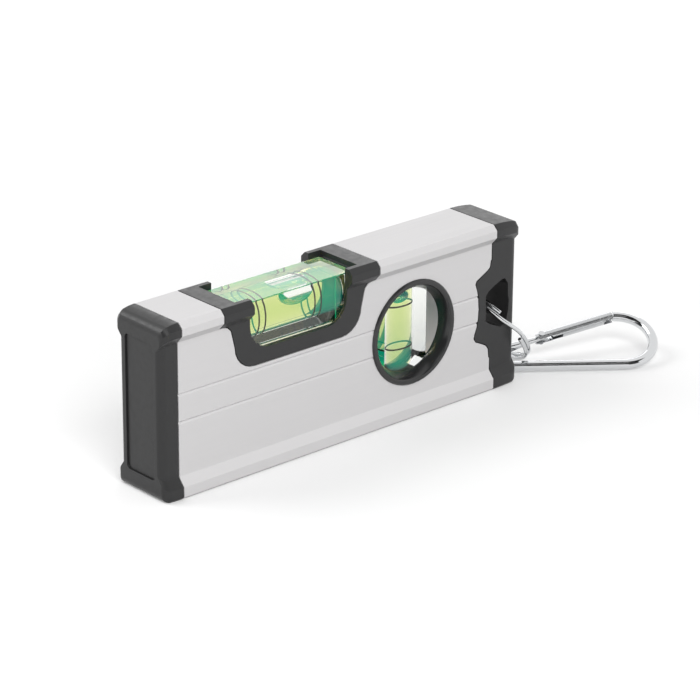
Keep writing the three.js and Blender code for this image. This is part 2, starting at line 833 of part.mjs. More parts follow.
function placeRing() {
  const group = new THREE.Group();
  group.position.set(...ringCentre);
  group.rotation.y = THREE.MathUtils.degToRad(ringTiltDegrees);
  const points = ringPoints();
  console.log(`least gap of the split ring to itself: ${ringLeastGap(points).toFixed(2)} mm`);
  addNode('split_ring', 'chrome', wire(points, ringWire / 2, ringSides), group);
  assembly.add(group);
}

// Carabiner, drawn in its own plane around the centre of its narrow end

const hookLean = Math.asin((hookBigRadius - hookSmallRadius) / hookSpan);
const gateStartU = pinU - lugRadius;

// The place at a distance u along the carabiner and a distance aside of the gate's line
function byGate(u, aside = 0) {
  const line = hookSmallRadius / Math.cos(hookLean) + u * Math.tan(hookLean);
  return [u - Math.sin(hookLean) * aside, line + Math.cos(hookLean) * aside];
}

function gateBlock(fromU, toU, fromAside, toAside, halfThickness) {
  const outline = [byGate(fromU, fromAside), byGate(toU, fromAside), byGate(toU, toAside), byGate(fromU, toAside)];
  return alongZ(outline, -halfThickness, halfThickness);
}

function gateRod(u, radius, halfLength) {
  const [across, up] = byGate(u);
  return turnedZ(rod(radius, -halfLength, halfLength), across, up, 0, pinSteps);
}

function flatPoints(outline) {
  return outline.map(([u, v]) => new THREE.Vector3(u, v, 0));
}

function hookPoints() {
  const lean = THREE.MathUtils.radToDeg(hookLean);
  const rise = (hookBigRadius + noseRise) / hookBigRadius;
  const nose = byGate(noseU);
  const wide = arc(hookSpan, 0, hookBigRadius, noseBendDegrees, 0, roundSteps / 6);
  const outline = [
    nose,
    [nose[0] + noseReach, nose[1]],
    ...wide.map(([u, v]) => [u, v * rise]),
    ...arc(hookSpan, 0, hookBigRadius, 0, -90 - lean, roundSteps / 4).slice(1),
    ...arc(0, 0, hookSmallRadius, -90 - lean, -270 + lean, roundSteps / 3),
    byGate(gateStartU - hookGap),
  ];
  return flatPoints(outline);
}

function makeHook() {
  const half = tongueThickness / 2;
  const hinge = gateBlock(gateStartU - hookWire, pinU + tongueHalfWidth, -tongueHalfWidth, tongueHalfWidth, half);
  const latchHalf = latchRadius + hookGap;
  const nose = gateBlock(
    latchU - latchHalf - hookGap, noseU + noseReach, -tongueHalfWidth, tongueHalfWidth, half,
  );
  const bite = gateBlock(latchU - latchHalf, latchU + latchHalf, -hookWire, latchHalf, hookWire);
  return wire(hookPoints(), hookWire / 2)
    .add(hinge)
    .add(nose.subtract(bite))
    .subtract(gateRod(pinU, pinRadius + pinPlay, hookWire));
}

// A tube forked at both ends, with rounded lugs around the hinge pin and a slot for its spring
function makeGate() {
  const forkHalf = tongueThickness / 2 + hookGap;
  const corner = gateBlock(gateStartU - overrun, pinU, -gateTube, gateTube, gateTube)
    .subtract(gateRod(pinU, lugRadius, gateTube + overrun));
  const hingeFork = gateBlock(gateStartU - overrun, gateStartU + hingeForkLength, -gateTube, gateTube, forkHalf);
  const noseFork = gateBlock(gateEndU - noseForkLength, gateEndU + overrun, -gateTube, gateTube, forkHalf);
  const slotHalf = springWire / 2 + seam;
  const slotEndU = springEndU + 2 * hookGap;
  const springSlot = gateBlock(springStartU, slotEndU, -gateTube, springInside, slotHalf);
  return wire(flatPoints([byGate(gateStartU), byGate(gateEndU)]), gateTube / 2, wireSides + 2)
    .subtract(corner)
    .subtract(hingeFork)
    .subtract(noseFork)
    .subtract(springSlot)
    .subtract(gateRod(pinU, pinRadius + pinPlay, gateTube))
    .add(gateRod(latchU, latchRadius, gateTube / 2 - hookGap));
}

function makePin() {
  const half = gateTube / 2 + pinHeadThickness;
  const inner = gateTube / 2 + hookGap / 3;
  const profile = [
    [0, -half], [pinHead, -half], [pinHead, -inner], [pinRadius, -inner],
    [pinRadius, inner], [pinHead, inner], [pinHead, half], [0, half],
  ];
  const [across, up] = byGate(pinU);
  return turnedZ(profile, across, up, 0, pinSteps);
}

// A wire that bows out of the gate's slot towards the inside of the carabiner
function makeSpring() {
  const points = [];
  for (let i = 0; i <= springSteps; i += 1) {
    const share = i / springSteps;
    const u = springStartU + share * (springEndU - springStartU);
    points.push(byGate(u, -springInside - springBow * Math.sin(Math.PI * share)));
  }
  return wire(flatPoints(points), springWire / 2, thinSides);
}

function placeCarabiner() {
  const group = new THREE.Group();
  group.position.set(...hookCentre);
  group.rotation.set(
    THREE.MathUtils.degToRad(hookRollDegrees),
    -THREE.MathUtils.degToRad(hookPitchDegrees),
    THREE.MathUtils.degToRad(hookAzimuthDegrees),
    'ZYX',
  );
  addNode('carabiner_hook', 'chrome', makeHook(), group);
  addNode('carabiner_gate', 'chrome', makeGate(), group);
  addNode('gate_pin', 'chrome', makePin(), group);
  addNode('gate_spring', 'chrome', makeSpring(), group);
  assembly.add(group);
}

addNode('aluminium_body', 'aluminium', makeBody());
addNode('magnet_strip', 'magnet', makeMagnetStrip());
addNode('left_end_cap', 'plastic', makeLeftCap());
addNode('right_end_cap', 'plastic', makeRightCap());
addNode('vial_saddle', 'plastic', makeSaddle());
addNode('level_vial', 'clear', makeLevelVial());
addNode('level_liquid', 'liquid', makeLevelLiquid());
addNode('level_bubble', 'bubble', makeLevelBubble());
addNode('level_plug', 'clear', makeLevelPlug());
levelMarkPlaces().forEach((x, i) => {
  addNode(`level_line_${i + 1}`, 'ink', turnedX(markRing(levelBoreRadius), x, 0, levelBoreZ));
});
addNode('window_bezel_front', 'plastic', makeWindowBezel(-1));
addNode('window_bezel_back', 'plastic', makeWindowBezel(1));
addNode('plumb_vial', 'clear', makePlumbVial());
addNode('plumb_liquid', 'liquid', makePlumbLiquid());
addNode('plumb_bubble', 'bubble', makePlumbBubble());
addNode('plumb_plug', 'clear', makePlumbPlug());
[-plumbMarkHalf, plumbMarkHalf].forEach((half, i) => {
  const ring = turnedZ(markRing(plumbBoreRadius), windowX, 0, plumbMarkZ + half);
  addNode(`plumb_line_${i + 1}`, 'ink', ring);
});
placeRing();
placeCarabiner();

export default assembly;
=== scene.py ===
# %% [markdown]
# A pocket spirit level, dressed for its picture.
# The solids of the level are already made and packed, and this lesson gives them their looks:
# soft edges, clear vials with liquid and bubbles, plated wire, a camera and plain studio light.

# %% Load the fixed solids
import json
import math

import bpy
from mathutils import Matrix, Vector

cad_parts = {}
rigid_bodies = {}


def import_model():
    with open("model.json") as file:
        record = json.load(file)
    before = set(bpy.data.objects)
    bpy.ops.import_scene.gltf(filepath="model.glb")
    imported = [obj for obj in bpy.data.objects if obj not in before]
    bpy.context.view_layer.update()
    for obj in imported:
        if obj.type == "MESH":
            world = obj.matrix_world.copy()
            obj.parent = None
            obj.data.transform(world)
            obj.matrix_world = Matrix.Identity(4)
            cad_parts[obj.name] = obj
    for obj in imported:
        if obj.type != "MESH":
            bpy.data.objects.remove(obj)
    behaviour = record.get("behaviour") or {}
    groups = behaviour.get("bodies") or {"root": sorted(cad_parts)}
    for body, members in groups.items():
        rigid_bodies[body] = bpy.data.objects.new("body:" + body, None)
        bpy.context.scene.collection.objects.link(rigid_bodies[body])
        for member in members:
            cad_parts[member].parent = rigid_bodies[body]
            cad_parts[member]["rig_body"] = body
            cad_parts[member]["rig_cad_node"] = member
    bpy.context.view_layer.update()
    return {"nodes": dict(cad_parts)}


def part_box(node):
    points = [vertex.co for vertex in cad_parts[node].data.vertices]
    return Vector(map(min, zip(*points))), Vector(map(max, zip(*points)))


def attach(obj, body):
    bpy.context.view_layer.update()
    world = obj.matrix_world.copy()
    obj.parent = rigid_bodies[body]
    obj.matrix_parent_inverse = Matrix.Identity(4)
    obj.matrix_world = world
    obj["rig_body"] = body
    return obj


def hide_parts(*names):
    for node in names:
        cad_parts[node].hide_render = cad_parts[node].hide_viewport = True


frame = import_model()
MM = 0.001

# %% [markdown]
# Every piece is modelled as by hand, with Blender's own tools.
# A tool acts on all that is selected, so each step first selects just what it needs.
# These few helpers are the movements that come back all the time.

# %% Hand movements


def let_go():
    """Deselects everything."""
    bpy.ops.object.select_all(action="DESELECT")


def take(thing):
    """Selects one object only, and makes it active."""
    let_go()
    thing.select_set(True)
    bpy.context.view_layer.objects.active = thing


def open_whole(thing):
    """Opens a mesh for editing with all of it selected."""
    take(thing)
    bpy.ops.object.mode_set(mode="EDIT")
    bpy.ops.mesh.select_mode(type="VERT")
    bpy.ops.mesh.select_all(action="SELECT")


def done():
    """Closes the mesh that is open for editing."""
    bpy.ops.object.mode_set(mode="OBJECT")


def modify(thing, kind, **settings):
    """Adds a modifier with its settings and applies it at once."""
    take(thing)
    bpy.ops.object.modifier_add(type=kind)
    added = thing.modifiers[-1]
    for key, value in settings.items():
        setattr(added, key, value)
    bpy.ops.object.modifier_apply(modifier=added.name)


def settle(thing, name):
    """Writes the piece's place into its mesh and gives it its name."""
    take(thing)
    bpy.ops.object.transform_apply(location=True, rotation=True, scale=True)
    thing.name = name
    thing.data.name = name
    return thing


# %% [markdown]
# A finish is a node material with one principled shader. A colour or number that is the same all over
# goes straight onto the shader's own socket, where an export finds it.
# No real surface is quite even, so a noise pattern is added, as a fine bump or as a gloss that wanders
# from place to place. It reads object coordinates, so that it stays on a piece when the piece moves.

# %% Finishes and their patterns
NOISE_DETAIL = 3
NOISE_LOW, NOISE_HIGH = 0.3, 0.7
GRAIN_DEPTH = 0.02 * MM
ROUND = (1, 1, 1)


def finish(name, colour, **sockets):
    """A principled material: every constant is set on the shader's own socket."""
    material = bpy.data.materials.new(name)
    material.use_nodes = True
    shader = material.node_tree.nodes["Principled BSDF"]
    shader.inputs["Base Color"].default_value = (*colour, 1)
    for key, value in sockets.items():
        shader.inputs[key.replace("_", " ")].default_value = value
    return material


def noise_field(material, scale, stretch):
    """A noise on object coordinates, which a small factor draws out along its axis."""
    nodes, links = material.node_tree.nodes, material.node_tree.links
    place = nodes.new("ShaderNodeTexCoord")
    mapping = nodes.new("ShaderNodeMapping")
    noise = nodes.new("ShaderNodeTexNoise")
    mapping.inputs["Scale"].default_value = stretch
    noise.inputs["Scale"].default_value = scale
    noise.inputs["Detail"].default_value = NOISE_DETAIL
    links.new(place.outputs["Object"], mapping.inputs["Vector"])
    links.new(mapping.outputs["Vector"], noise.inputs["Vector"])
    return noise.outputs["Fac"]


def grain(material, scale, strength, stretch=ROUND):
    """Adds a fine bump to a material's surface."""
    nodes, links = material.node_tree.nodes, material.node_tree.links
    bump = nodes.new("ShaderNodeBump")
    bump.inputs["Strength"].default_value = strength
    bump.inputs["Distance"].default_value = GRAIN_DEPTH
    links.new(noise_field(material, scale, stretch), bump.inputs["Height"])
    links.new(bump.outputs["Normal"], nodes["Principled BSDF"].inputs["Normal"])


def wander(material, scale, low, high, stretch=ROUND):
    """Lets a material's roughness wander between two values."""
    nodes, links = material.node_tree.nodes, material.node_tree.links
    reach = nodes.new("ShaderNodeMapRange")
    reach.inputs["From Min"].default_value = NOISE_LOW
    reach.inputs["From Max"].default_value = NOISE_HIGH
    reach.inputs["To Min"].default_value = low
    reach.inputs["To Max"].default_value = high
    links.new(noise_field(material, scale, stretch), reach.inputs["Value"])
    links.new(reach.outputs["Result"], nodes["Principled BSDF"].inputs["Roughness"])


# %% [markdown]
# The level's body is anodised aluminium: a matt pale skin on the metal, so it is only partly metallic
# here. Its fine streaks follow the extrusion, so their noise is drawn out along X.

# %% Anodised aluminium
DRAWN_OUT = (0.03, 1, 1)
aluminium = finish(
    "satin_aluminium", (0.585, 0.577, 0.581), Metallic=0.15, Roughness=0.55, Specular_IOR_Level=0.35,
)
grain(aluminium, scale=2200, strength=0.22, stretch=DRAWN_OUT)
wander(aluminium, scale=1500, low=0.48, high=0.62, stretch=DRAWN_OUT)
print("the streaks are drawn out", round(1 / DRAWN_OUT[0]), "times along the body")

# %% [markdown]
# The end caps and the saddle are moulded black plastic with a fine round grain and an uneven gloss.
# The two bezels of the round window are smoother, so they get a shinier black of their own.

# %% Black plastic
black = finish("black_plastic", (0.02, 0.02, 0.0205), Roughness=0.36, Specular_IOR_Level=0.38)
grain(black, scale=1800, strength=0.4)
wander(black, scale=700, low=0.3, high=0.44)
shiny_black = finish("shiny_black_plastic", (0.016, 0.016, 0.0165), Roughness=0.2)
grain(shiny_black, scale=1800, strength=0.15)
print("finishes so far:", aluminium.name, black.name, shiny_black.name)

# %% [markdown]
# The plain solids have perfectly sharp edges, which no real part has.
# A bevel would stumble over the loose triangles of a solid, so a copy of it is first merged into
# whole faces. A small bevel then rounds its edges, and they catch the light as on the real extrusion
# and mouldings. Weighted normals keep the large faces flat beside these small round edges.

# %% Body, saddle and bezels with round edges
WELD = 0.002 * MM
FLAT_DEGREES, SHARP_DEGREES = 0.6, 28


def merged_copy(node, name):
    """A copy of a solid with whole faces in place of its loose triangles."""
    take(frame["nodes"][node])
    bpy.ops.object.duplicate()
    copy = bpy.context.object
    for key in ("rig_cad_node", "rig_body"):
        del copy[key]
    open_whole(copy)
    bpy.ops.mesh.remove_doubles(threshold=WELD)
    bpy.ops.mesh.dissolve_limited(angle_limit=math.radians(FLAT_DEGREES))
    done()
    copy.parent = None
    return settle(copy, name)


def soften(thing, width, degrees, segments=2, corner="MITER_SHARP"):
    """Bevels all edges that are sharper than an angle."""
    modify(
        thing, "BEVEL", width=width * MM, segments=segments, limit_method="ANGLE",
        angle_limit=math.radians(degrees), miter_outer=corner,
    )


def smooth(thing, degrees=35):
    """Shades a piece smooth, and keeps its large faces flat beside their small round edges."""
    take(thing)
    bpy.ops.object.shade_smooth_by_angle(angle=math.radians(degrees))
    modify(thing, "WEIGHTED_NORMAL", keep_sharp=True)


def dress(thing, material, slot, body, *nodes):
    """Gives a piece its finish, the body it moves with and the solids it stands for."""
    thing.data.materials.clear()
    thing.data.materials.append(material)
    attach(thing, body)
    if nodes:
        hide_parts(*nodes)
    print(thing.name, "has", len(thing.data.polygons), "faces")


for node, name, width, material, slot in (
    ("aluminium_body", "extruded_body", 0.12, aluminium, "aluminium"),
    ("vial_saddle", "saddle", 0.25, black, "black_plastic"),
    ("window_bezel_front", "bezel_front", 0.12, shiny_black, "black_plastic"),
    ("window_bezel_back", "bezel_back", 0.12, shiny_black, "black_plastic"),
):
    moulded = merged_copy(node, name)
    soften(moulded, width, SHARP_DEGREES, corner="MITER_ARC")
    smooth(moulded)
    dress(moulded, material, slot, "level", node)

# %% [markdown]
# The end caps are softer than the other mouldings: their lips sink a little towards the free end.
# A wider bevel would be stopped by the small faces of the round corners. So each cap is cut across
# a few times, and its corners are then moved inwards, more and more towards the end.
# A wider smoothing angle lets the light run round the lips.

# %% Soft end caps
LIP_LOW, LIP_TOP = 33.0, 40.0
LIP_INNER, LIP_OUTER = 6.9, 8.45
SINK, SIDE_SHARE = 0.9, 0.6
CUT_SHARES = (0.12, 0.24, 0.36, 0.48, 0.6)


def soft_cap(node, name, seat, end):
    """A cap whose lips sink between its seat on the body and its free end."""
    cap = merged_copy(node, name)
    reach = end - seat
    for share in CUT_SHARES:
        open_whole(cap)
        bpy.ops.mesh.bisect(plane_co=((seat + share * reach) * MM, 0, 0), plane_no=(1, 0, 0))
        done()
    for corner in cap.data.vertices:
        along = (corner.co.x / MM - seat) / reach
        sink = SINK * max(0.0, min(1.0, along)) ** 2 * MM
        high = max(0.0, corner.co.z / MM - LIP_LOW) / (LIP_TOP - LIP_LOW)
        wide = max(0.0, abs(corner.co.y) / MM - LIP_INNER) / (LIP_OUTER - LIP_INNER)
        corner.co.z -= sink * high
        corner.co.y -= math.copysign(sink * wide * SIDE_SHARE, corner.co.y)
    soften(cap, 0.2, SHARP_DEGREES, corner="MITER_ARC")
    smooth(cap, 50)
    return cap


for side, seat, end in (("left", -47.2, -52.0), ("right", 44.2, 52.0)):
    cap = soft_cap(f"{side}_end_cap", f"cap_{side}", seat, end)
    dress(cap, black, "black_plastic", "level", f"{side}_end_cap")

# %% [markdown]
# Two shapes come back from here on: a round rod along an axis, and a box between two corners.
# Both are cut, bevelled or hollowed afterwards, so neither is left as it starts.

# %% Rod and box


def rod(radius, start, end, axis="X", centre=(0, 0), vertices=96, name="rod"):
    """A round rod along X, Y or Z, between two places on that axis."""
    turn = {"X": (0, math.pi / 2, 0), "Y": (math.pi / 2, 0, 0), "Z": (0, 0, 0)}[axis]
    middle = (start + end) / 2
    place = {
        "X": (middle, centre[0], centre[1]),
        "Y": (centre[0], middle, centre[1]),
        "Z": (centre[0], centre[1], middle),
    }[axis]
    let_go()
    bpy.ops.mesh.primitive_cylinder_add(
        vertices=vertices, radius=radius * MM, depth=abs(end - start) * MM,
        location=Vector(place) * MM, rotation=turn,
    )
    return settle(bpy.context.object, name)


def box(low, high, name="box"):
    """A box between two corners."""
    low, high = Vector(low) * MM, Vector(high) * MM
    let_go()
    bpy.ops.mesh.primitive_cube_add(size=1, location=(low + high) / 2, scale=high - low)
    return settle(bpy.context.object, name)


# %% [markdown]
# The left cap's recess is shallow, with a flat panel on its floor. The panel is a thin box whose
# four short edges get a wide bevel, to follow the round corners of the recess. A modifier would bevel
# every edge, so this is done in edit mode, where only the wanted edges are chosen.

# %% Panel of the left end
PANEL_LOW, PANEL_HIGH = (-51.6, -4.66, 4.44), (-51.02, 4.66, 35.76)
PANEL_CORNER = 0.95


def choose(thing, kind, wanted):
    """Opens a mesh for editing with only the wanted edges or faces selected."""
    take(thing)
    bpy.ops.object.mode_set(mode="EDIT")
    bpy.ops.mesh.select_mode(type=kind)
    bpy.ops.mesh.select_all(action="DESELECT")
    bpy.ops.object.mode_set(mode="OBJECT")
    for part in {"EDGE": thing.data.edges, "FACE": thing.data.polygons}[kind]:
        part.select = wanted(part)
    bpy.ops.object.mode_set(mode="EDIT")


panel = box(PANEL_LOW, PANEL_HIGH, "end_panel")


def lies_along_x(edge):
    near, far = (panel.data.vertices[number].co for number in edge.vertices)
    return abs(near.x - far.x) > 0.1 * MM


choose(panel, "EDGE", lies_along_x)
bpy.ops.mesh.bevel(offset=PANEL_CORNER * MM, segments=6)
done()
soften(panel, 0.12, 60)
smooth(panel)
dress(panel, black, "black_plastic", "level")

# %% [markdown]
# Between its two lips the round window shows a grey wall. The grey is painted light: a thin grey tube
# inside the black throat stands in for the sheen and the back light that the black plastic shows
# there, with a pink tint against the green light of the liquid. It is a thin tube: a rod without its
# end faces gets a wall, and a block clears the seat in which the vial stands.

# %% Painted sheen on the wall of the round window
WINDOW = (20.1, 20.1)
WALL_RADIUS, WALL_REACH, SEAT_REACH = 9.89, 4.3, 6.45
INWARDS, OUTWARDS = -1, 1


def hollow(thing, axis, wall, side):
    """Takes a rod's end faces away and gives the tube a wall."""
    choose(thing, "FACE", lambda face: abs(face.normal["XYZ".index(axis)]) > 0.9)
    bpy.ops.mesh.delete(type="FACE")
    done()
    modify(thing, "SOLIDIFY", thickness=wall * MM, offset=side)


def cut(thing, cutter, how="DIFFERENCE"):
    """Cuts with another mesh, which is then thrown away."""
    modify(thing, "BOOLEAN", object=cutter, operation=how, solver="EXACT")
    bpy.data.objects.remove(cutter)


sheen_liner = rod(WALL_RADIUS, -WALL_REACH, WALL_REACH, "Y", WINDOW, 128, "window_sheen_liner")
hollow(sheen_liner, "Y", 0.05, INWARDS)
cut(sheen_liner, box((WINDOW[0] - SEAT_REACH, -6, 0), (WINDOW[0] + SEAT_REACH, 6, 40)))
smooth(sheen_liner)
# The wall's grey, with its pink tint, is painted sheen on the black throat, set against the liquid's
# green light.
painted_sheen_wall = finish("painted_sheen_wall", (0.5, 0.44, 0.47), Metallic=0.2, Roughness=0.35)
wander(painted_sheen_wall, scale=900, low=0.3, high=0.4)
dress(sheen_liner, painted_sheen_wall, "black_plastic", "level")

# %% [markdown]
# The magnetic strip in the base is a dull dark bar. Its solid has the right shape, so it stays as it
# is and only gets a finish, with a very fine grain.

# %% Magnetic strip
magnet = finish("magnet_strip", (0.022, 0.02, 0.019), Roughness=0.75)
grain(magnet, scale=4000, strength=0.3)
strip = frame["nodes"]["magnet_strip"]
strip.data.materials.clear()
strip.data.materials.append(magnet)
print(strip.name, "keeps its", len(strip.data.polygons), "faces")

# %% [markdown]
# The vials are clear plastic, a yellow-green liquid and an air bubble inside each other.
# Light bends where one of them meets the next, by the ratio of their refractive indices.
# So the block has the index of acrylic against air, and the liquid has its index against acrylic.
# The bubble would have that of air against the liquid, 0.68. It gets a lower one, because that
# widens the silvery top that a real bubble shows. Each border is drawn once.
# The liquid's dye takes colour from the light that passes. Its teal glow is painted light: it shines
# by itself, the same whatever light falls on the liquid, and stands in for the glow of a bright dye.

# %% Clear plastic, liquid and air
ACRYLIC, LIQUID, BUBBLE = 1.49, 1.475, 0.58


def clear(name, colour, index):
    return finish(name, colour, Roughness=0.0, IOR=index, Transmission_Weight=1.0)


def dye_and_painted_glow(material, colour, density, glow_colour, glow):
    """Fills a clear material with a dye that absorbs light, and adds a painted glow that shines by
    itself.
    """
    nodes, links = material.node_tree.nodes, material.node_tree.links
    absorbing = nodes.new("ShaderNodeVolumeAbsorption")
    glowing = nodes.new("ShaderNodeEmission")
    both = nodes.new("ShaderNodeAddShader")
    absorbing.inputs["Color"].default_value = (*colour, 1)
    absorbing.inputs["Density"].default_value = density
    glowing.inputs["Color"].default_value = (*glow_colour, 1)
    glowing.inputs["Strength"].default_value = glow
    links.new(absorbing.outputs["Volume"], both.inputs[0])
    links.new(glowing.outputs["Emission"], both.inputs[1])
    links.new(both.outputs["Shader"], nodes["Material Output"].inputs["Volume"])


clear_plastic = clear("clear_plastic", (0.97, 0.985, 0.97), ACRYLIC)
liquid = clear("yellow_green_liquid", (1.0, 1.0, 1.0), LIQUID / ACRYLIC)
# The teal glow of 42 is painted light, which shines whatever light falls on the liquid.
dye_and_painted_glow(liquid, colour=(0.8, 0.66, 0.02), density=240, glow_colour=(0.0, 1.0, 0.9), glow=42)
air = clear("air_bubble", (1.0, 1.0, 1.0), BUBBLE)
print("the liquid's index against acrylic is", round(LIQUID / ACRYLIC, 3))

# %% [markdown]
# The level vial is a moulded block. It is a cube, scaled to its solid's size, with a small bevel.
# The bore isn't cut: the liquid's own surface draws it, because a second surface in the same place
# would bend the light twice.

# %% Block of the level vial


def corners(node):
    """A solid's lowest and highest corners, in millimetres."""
    low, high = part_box(node)
    return low / MM, high / MM


def clear_block(node, name):
    """A cube that is scaled to the size of a solid."""
    low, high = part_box(node)
    let_go()
    bpy.ops.mesh.primitive_cube_add(size=1, location=(low + high) / 2, scale=high - low)
    return settle(bpy.context.object, name)


block_low, block_high = corners("level_vial")
block = clear_block("level_vial", "level_block")
soften(block, 0.3, 30, segments=3)
dress(block, clear_plastic, "clear_plastic", "level", "level_vial")

# %% [markdown]
# A pale strip lies under the block. Steep light that falls through the vial meets it and comes back,
# so the vial looks bright from above. It is one flat box, with its edges just broken, in the gap
# under the block.

# %% Pale strip under the level vial
STRIP_TOP, STRIP_BASE = 0.05, 0.15
half_depth = (block_high.y - block_low.y) / 2
backing = box(
    (block_low.x, -half_depth, block_low.z - STRIP_BASE),
    (block_high.x, half_depth, block_low.z - STRIP_TOP),
    "vial_backing",
)
soften(backing, 0.03, 60)
smooth(backing)
pale_paper = finish("pale_paper", (0.85, 0.84, 0.7), Roughness=0.8)
dress(backing, pale_paper, "clear_plastic", "level")

# %% [markdown]
# The liquid fills the bore, and its far end is a dome. It is a rod whose end edge gets a wide bevel.
# The bubble is a flattened ball that is cut to the roundness of the bore, so that it lies against
# its top. It stops just short of the liquid's surface, so that the two never share a face.

# %% Liquid and bubble of the level vial
BORE, BORE_DEPTH, END_WALL, DOME = 4.3, 5.0, 1.7, 2.2
BUBBLE_HALVES, BUBBLE_SUNK, SHORT_OF_WALL = (4.9, 4.6, 3.3), 1.0, 0.12
bore_line = (0, block_high.z - BORE_DEPTH)


def dome_end(thing, axis, place):
    """Rounds a rod over at one end with a wide bevel on its edge."""

    def at_the_end(edge):
        spots = [thing.data.vertices[number].co["XYZ".index(axis)] / MM for number in edge.vertices]
        return all(abs(spot - place) < 0.01 for spot in spots)

    choose(thing, "EDGE", at_the_end)
    bpy.ops.mesh.bevel(offset=DOME * MM, segments=10, profile=0.5)
    done()


def ball(place, halves, name):
    """A ball, or an egg with three half lengths."""
    let_go()
    bpy.ops.mesh.primitive_uv_sphere_add(
        segments=64, ring_count=32, radius=1,
        location=Vector(place) * MM, scale=Vector(halves) * MM,
    )
    return settle(bpy.context.object, name)


def middle_of(node):
    low, high = corners(node)
    return (low + high) / 2


plug_low, plug_high = corners("level_plug")
bore_end = block_high.x - END_WALL
level_liquid = rod(BORE, plug_high.x, bore_end, "X", bore_line, name="level_vial_liquid")
dome_end(level_liquid, "X", bore_end)
smooth(level_liquid, 40)
dress(level_liquid, liquid, "vial_liquid", "level", "level_liquid")

bubble_place = (middle_of("level_bubble").x, 0, bore_line[1] + BORE - BUBBLE_SUNK)
level_air = ball(bubble_place, BUBBLE_HALVES, "level_vial_bubble")
cut(level_air, rod(BORE - SHORT_OF_WALL, -40, 10, "X", bore_line, 128), "INTERSECT")
smooth(level_air, 50)
dress(level_air, air, "bubble", "level_vial_bubble", "level_bubble")

# %% [markdown]
# The line rings are thin black bands round the bore, by which the bubble is read. A band is an open
# tube with a wall, on the bore's surface. The first one is modelled, and the others are copies of it
# that are moved along the bore, so that all of them are equal.

# %% Line rings of the level vial
BAND_WIDTH, BAND_WALL, INTO_BORE = 0.36, 0.16, 0.04
ink = finish("black_ink", (0.012, 0.014, 0.012), Roughness=0.5)


def copy_along(thing, axis, distance, name):
    """A copy with its own mesh, moved along an axis."""
    take(thing)
    bpy.ops.object.duplicate()
    copy = bpy.context.object
    copy.location["XYZ".index(axis)] = distance * MM
    return settle(copy, name)


def line_rings(node, name, count, bore, axis, line):
    """Equal bands round a bore, one for each of the vial's line nodes."""
    numbers = range(1, count + 1)
    places = [middle_of(f"{node}_{number}")["XYZ".index(axis)] for number in numbers]
    start, end = places[0] - BAND_WIDTH / 2, places[0] + BAND_WIDTH / 2
    first = rod(bore - INTO_BORE, start, end, axis, line, name=f"{name}_1")
    hollow(first, axis, BAND_WALL, OUTWARDS)
    smooth(first)
    bands = [first]
    for number in numbers[1:]:
        distance = places[number - 1] - places[0]
        bands.append(copy_along(first, axis, distance, f"{name}_{number}"))
    for number, band in zip(numbers, bands):
        dress(band, ink, "line_ink", "level", f"{node}_{number}")


line_rings("level_line", "level_ring", 4, BORE, "X", bore_line)

# %% [markdown]
# A plug seals the bore behind the liquid. It is clear, and so nearly of the block's index that it
# hardly shows. It is a short rod with broken edges.

# %% Plug of the level vial
PLUG_EDGE, PLUG_PLAY = 0.15, 0.02
plug_plastic = clear("plug_plastic", (0.9, 0.95, 0.9), 1.01)


def plug(bore, start, end, axis, line, name, node):
    stopper = rod(bore, start, end, axis, line, name=name)
    soften(stopper, PLUG_EDGE, 60)
    smooth(stopper)
    dress(stopper, plug_plastic, "clear_plastic", "level", node)


plug(BORE, plug_low.x + 0.1, plug_high.x - PLUG_PLAY, "X", bore_line, "level_vial_plug", "level_plug")

# %% [markdown]
# The plumb vial stands upright in the round window. Its block has its ends rounded to the window,
# which a boolean intersection with a thick round plate gives. The plate is just as high as the block,
# so the two touch at the ends. The middle of each end sits in the dark frame, and those faces get a
# flat black that is painted shade: it stands in for the dark that the clear ends show there.
# The rest of the block stays clear.

# %% Block of the plumb vial
BLOCK_END_RADIUS = 11
upright = clear_block("plumb_vial", "plumb_block")
cut(upright, rod(BLOCK_END_RADIUS, -5, 5, "Y", WINDOW, 160), "INTERSECT")
soften(upright, 0.2, 40, segments=3)
dress(upright, clear_plastic, "clear_plastic", "level", "plumb_vial")
# The black end faces are painted shade, not a black part of the vial.
painted_shade_end = finish("painted_shade_end", (0.02, 0.02, 0.02), Roughness=0.5)
upright.data.materials.append(painted_shade_end)
for face in upright.data.polygons:
    face.material_index = int(abs(face.normal.x) < 0.35 and abs(face.normal.z) > 0.9)
print(sum(face.material_index for face in upright.data.polygons), "faces of the block are dark")

# %% [markdown]
# The plumb vial is filled like the level vial, only upright: the dome of its liquid is at the foot,
# and its bubble is a small round one under the plug. It is free of the wall all round, so it needs
# no cut. Its two line rings and its plug are made by the same steps as before.

# %% Liquid, bubble, line rings and plug of the plumb vial
PLUMB_BORE, FOOT_WALL = 3.6, 0.8
PLUMB_BUBBLE_HALVES = (2.6, 2.6, 1.45)
plumb_line = (WINDOW[0], 0)
foot = corners("plumb_vial")[0].z + FOOT_WALL
plug_low, plug_high = corners("plumb_plug")
plumb_liquid = rod(PLUMB_BORE, foot, plug_low.z, "Z", plumb_line, name="plumb_vial_liquid")
dome_end(plumb_liquid, "Z", foot)
smooth(plumb_liquid, 40)
dress(plumb_liquid, liquid, "vial_liquid", "level", "plumb_liquid")

bubble_place = (*plumb_line, middle_of("plumb_bubble").z)
plumb_air = ball(bubble_place, PLUMB_BUBBLE_HALVES, "plumb_vial_bubble")
smooth(plumb_air, 50)
dress(plumb_air, air, "bubble", "plumb_vial_bubble", "plumb_bubble")

line_rings("plumb_line", "plumb_ring", 2, PLUMB_BORE, "Z", plumb_line)
plug(PLUMB_BORE, plug_low.z + PLUG_PLAY, plug_high.z, "Z", plumb_line, "plumb_vial_plug", "plumb_plug")

